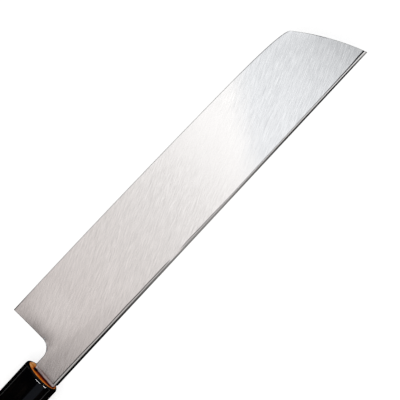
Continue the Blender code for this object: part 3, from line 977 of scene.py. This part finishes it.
def build_tenon_end():
    slot_low = TANG_LOW - 0.0001
    slot_high = TANG_HIGH + SLOT_MOUTH_GAP
    slot_half = SPINE_THICKNESS / 2 - TANG_FACE_STEP + 0.0002
    # A black spot painted round this point is painted shade of the gap beside the tang's top corner
    painted_gap_spot = Vector((TANG_HIGH - 0.0016, GRIP_LEVEL + slot_half + 0.0006))
    painted_gap_reach = 0.0026
    # Each ring: share of the way from bore to slot, place along x, and how burnt it is; the first
    # ones are the dark joint with the horn
    rings = (
        (0.000, -0.00600, 0.90),
        (0.000, -0.00040, 0.90),
        (0.035, -0.00010, 0.60),
        (0.075, -0.00010, 0.14),
        (0.220, 0.00000, 0.18),
        (0.420, 0.00000, 0.30),
        (0.580, -0.00005, 0.42),
        (0.740, -0.00020, 0.54),
        (0.880, -0.00040, 0.66),
        (1.000, -0.00080, 0.85),
        (1.000, -0.00600, 1.00),
    )
    bm = bmesh.new()
    char_and_painted_shade = bm.verts.layers.float.new("char_and_painted_shade")
    made = []
    for share, x, burnt in rings:
        ring = []
        for k in range(TENON_COLUMNS):
            turn = 2 * pi * k / TENON_COLUMNS
            outer_y = GRIP_CENTRE + BORE_HEIGHT / 2 * cos(turn)
            outer = Vector((outer_y, GRIP_LEVEL + BORE_DEPTH / 2 * sin(turn)))
            c, s = boxed_turn(turn)
            inner = Vector((mix(slot_low, slot_high, (c + 1) / 2), GRIP_LEVEL + slot_half * s))
            spot = outer.lerp(inner, share)
            rough = noise.noise(Vector((spot.x, spot.y, 0.0)) * TENON_PATCHES)
            cut = TENON_UNEVENNESS * rough if share > 0.0 else 0.0
            vert = bm.verts.new(KNIFE + Vector((min(x + cut, 0.0), spot.x, spot.y)))
            # On the cutting edge's side of the tang the wood is wider, and stays paler
            paler = 0.75 * smooth((cos(turn) - 0.55) / 0.35) if 0.04 < share < 1.0 else 0.0
            patchy = 0.12 * rough if share < 1.0 else 0.0
            # Painted shade: black round the gap beside the tang's top corner
            painted_gap = smooth(2 - 2 * (spot - painted_gap_spot).length / painted_gap_reach)
            vert[char_and_painted_shade] = min(max(burnt * (1 - paler) + patchy, painted_gap, 0.0), 1.0)
            ring.append(vert)
        made.append(ring)
    for first, second in zip(made, made[1:] + made[:1]):
        for k in range(TENON_COLUMNS):
            n = (k + 1) % TENON_COLUMNS
            bm.faces.new((first[k], first[n], second[n], second[k]))
    bmesh.ops.recalc_face_normals(bm, faces=bm.faces)
    return add_piece("tenon_end", bm, [scorched_wood()])


# Studio

CAMERA_PLACE = (0.32732, -0.26303, 0.95435)
CAMERA_RIGHT = (0.65946467, -0.66684179, -0.34702791)
CAMERA_UP = (0.71192776, 0.70224411, 0.00347374)
CAMERA_LENS = 134.46
ROOM_LIGHT = 0.62           # brightness of the white surroundings for the rays that light the knife
FLOOR_GREY = 0.55
FLOOR_GLOW = 0.68


def place_camera():
    data = bpy.data.cameras.new("camera")
    data.lens = CAMERA_LENS
    data.sensor_width = 36.0
    data.clip_start = 0.01
    camera = into_scene("camera", data)
    right = Vector(CAMERA_RIGHT)
    up = Vector(CAMERA_UP)
    turned = Matrix((right, up, right.cross(up))).transposed().to_4x4()
    camera.matrix_world = Matrix.Translation(CAMERA_PLACE) @ turned
    bpy.context.scene.camera = camera


def seen_directly(tree):
    """1 for camera, glossy and transmission rays, 0 for the rays that light the object."""
    sum_ = Sums(tree)
    path = tree.nodes.new('ShaderNodeLightPath').outputs
    some = sum_('MAXIMUM', path["Is Camera Ray"], path["Is Glossy Ray"])
    return sum_('MAXIMUM', some, path["Is Transmission Ray"])


def light_world(strength):
    world = bpy.data.worlds.new("studio")
    bpy.context.scene.world = world
    world.use_nodes = True
    tree = world.node_tree
    background = tree.nodes["Background"]
    background.inputs["Color"].default_value = (1.0, 1.0, 1.0, 1.0)
    level = Sums(tree)('MULTIPLY_ADD', seen_directly(tree), 1.0 - strength, strength)
    tree.links.new(level, background.inputs["Strength"])


def lay_sheet(name, middle, wide, high):
    """A flat sheet of one face, which reaches wide and high to either side of its middle."""
    mesh = bpy.data.meshes.new(name)
    mesh.from_pydata(
        [middle - wide - high, middle + wide - high, middle + wide + high, middle - wide + high],
        [],
        [(0, 1, 2, 3)],
    )
    return into_scene(name, mesh)


def lay_floor():
    """Plain pale floor, which the knife's handle rests on."""
    reach = 6.0
    floor = lay_sheet("floor", Vector(), Vector((reach, 0.0, 0.0)), Vector((0.0, reach, 0.0)))
    finish = Finish("pale_floor", roughness=0.9)
    finish.shader.inputs["Base Color"].default_value = (FLOOR_GREY, FLOOR_GREY, FLOOR_GREY, 1.0)
    finish.shader.inputs["Specular IOR Level"].default_value = 0.0
    finish.shader.inputs["Emission Color"].default_value = (1.0, 1.0, 1.0, 1.0)
    finish.link(finish.sum('MULTIPLY', seen_directly(finish.tree), FLOOR_GLOW), "Emission Strength")
    floor.data.materials.append(finish.material)


def hang_lamp(name, place, aim, size, watts):
    data = bpy.data.lights.new(name, 'AREA')
    data.shape = 'RECTANGLE'
    data.size, data.size_y = size
    data.energy = watts
    lamp = into_scene(name, data)
    lamp.location = place
    lamp.rotation_mode = 'QUATERNION'
    lamp.rotation_quaternion = (Vector(aim) - Vector(place)).to_track_quat('-Z', 'Y')
    lamp.visible_glossy = False


def hang_card(name, centre, right, up, size, stops, strength=1.0):
    """A studio card that shows only in gloss. Its colour runs through (share, colour) stops."""
    wide = Vector(right).normalized() * (size[0] / 2)
    high = Vector(up).normalized() * (size[1] / 2)
    card = lay_sheet(name, Vector(centre), wide, high)
    lines = card.data.uv_layers.new(name="card")
    for loop, uv in zip(lines.data, ((0, 0), (1, 0), (1, 1), (0, 1))):
        loop.uv = uv
    finish = Finish(name)
    across = finish.axis(finish.tree.nodes["Texture Coordinate"].outputs["UV"], "X")
    finish.shader.inputs["Base Color"].default_value = (0.0, 0.0, 0.0, 1.0)
    finish.shader.inputs["Specular IOR Level"].default_value = 0.0
    finish.link(finish.ramp(across, *stops), "Emission Color")
    finish.shader.inputs["Emission Strength"].default_value = strength
    card.data.materials.append(finish.material)
    card.visible_camera = False
    card.visible_diffuse = False
    card.visible_shadow = False
    return card


def hang_flag(name, centre, right, up, size, colour):
    """A card of one even colour."""
    return hang_card(name, centre, right, up, size, ((0.0, colour), (1.0, colour)))


def lit_only(pieces, cards):
    """Lets the cards show in these pieces alone; in the others they are black."""
    receivers = bpy.data.collections.new("lit_by_" + cards[0].name)
    for piece in pieces:
        receivers.objects.link(piece)
    for card in cards:
        card.light_linking.receiver_collection = receivers


def light_studio(horn, others):
    """Grey walls show in the steel and the wood; the horn sees them black, and two small lights."""
    light_world(ROOM_LIGHT)
    hang_lamp("soft_lamp", (-0.45, -0.50, 1.15), (0.05, 0.0, 0.0), (1.2, 1.0), 4.2)
    overhead = hang_card("overhead_card", (-0.05, 0.63, 1.02), (1, 0, 0), (0, 1, 0), (2.4, 1.2), (
        (0.000, (0.035, 0.031, 0.030)),
        (0.302, (0.045, 0.036, 0.035)),
        (0.319, (0.460, 0.407, 0.392)),
        (0.337, (0.660, 0.603, 0.586)),
        (0.386, (0.600, 0.568, 0.557)),
        (0.428, (0.625, 0.603, 0.596)),
        (0.460, (0.760, 0.748, 0.744)),
        (0.485, (1.055, 1.051, 1.051)),
        (0.510, (0.905, 0.905, 0.907)),
        (0.550, (0.860, 0.860, 0.862)),
        (0.572, (0.580, 0.580, 0.580)),
        (0.600, (0.160, 0.160, 0.160)),
        (1.000, (0.160, 0.160, 0.160)),
    ), 1.5)
    beside = hang_card("camera_side_card", (-0.05, -0.11, 1.02), (1, 0, 0), (0, 1, 0), (2.4, 0.28), (
        (0.000, (0.700, 0.680, 0.670)),
        (0.350, (0.700, 0.680, 0.670)),
        (0.500, (0.660, 0.640, 0.630)),
        (0.540, (0.780, 0.765, 0.760)),
        (0.575, (1.300, 1.295, 1.295)),
        (1.000, (1.300, 1.295, 1.295)),
    ))
    hang_flag("near_card", (-0.05, -0.85, 1.02), (1, 0, 0), (0, 1, 0), (2.4, 1.2), (0.16, 0.18, 0.22))
    wall = (0.42, 0.42, 0.43)
    lit_only(others, (
        overhead,
        beside,
        hang_flag("far_flag", (0.10, 0.75, 0.49), (1, 0, 0), (0, 0, 1), (2.2, 0.92), wall),
        hang_flag("near_flag", (0.10, -1.00, 0.40), (1, 0, 0), (0, 0, 1), (2.2, 0.70), wall),
        hang_flag("left_flag", (-1.20, -0.05, 0.45), (0, 1, 0), (0, 0, 1), (2.0, 0.86), wall),
        hang_flag("right_flag", (1.50, -0.20, 0.60), (0, 1, 0), (0, 0, 1), (3.0, 1.15), wall),
        hang_flag("under_flag", (0.0, -0.10, 0.001), (1, 0, 0), (0, 1, 0), (1.0, 1.80),
                  (0.95, 0.95, 0.95)),
    ))
    lit_only([horn], (
        hang_flag("rim_light", (0.4455, -0.139, 0.865), (0.02, -0.984, -0.176), (0.80, 0.0, -0.60),
                  (0.48, 0.20), (30.0, 30.0, 30.0)),
        hang_flag("side_light", (0.527, -0.841, 0.653), (-0.13, -0.68, -0.72), (0.80, 0.27, -0.53),
                  (0.40, 0.27), (42.0, 42.0, 42.0)),
    ))


# The whole

def main():
    root = "root" if "root" in frame["bodies"] else next(iter(frame["bodies"]))
    blade = build_blade()
    tang = build_tang()
    tree = oval_bar_tree()
    ferrule = build_ferrule(tree)
    grip = build_grip(tree)
    tenon = build_tenon_end()
    for piece in (blade, tang, ferrule, grip, tenon):
        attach(piece, root)
    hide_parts("blade")
    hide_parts("ferrule")
    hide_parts("handle")
    place_camera()
    lay_floor()
    light_studio(ferrule, [blade, tang, grip, tenon])
    bpy.context.scene.view_settings.view_transform = 'Standard'


main()
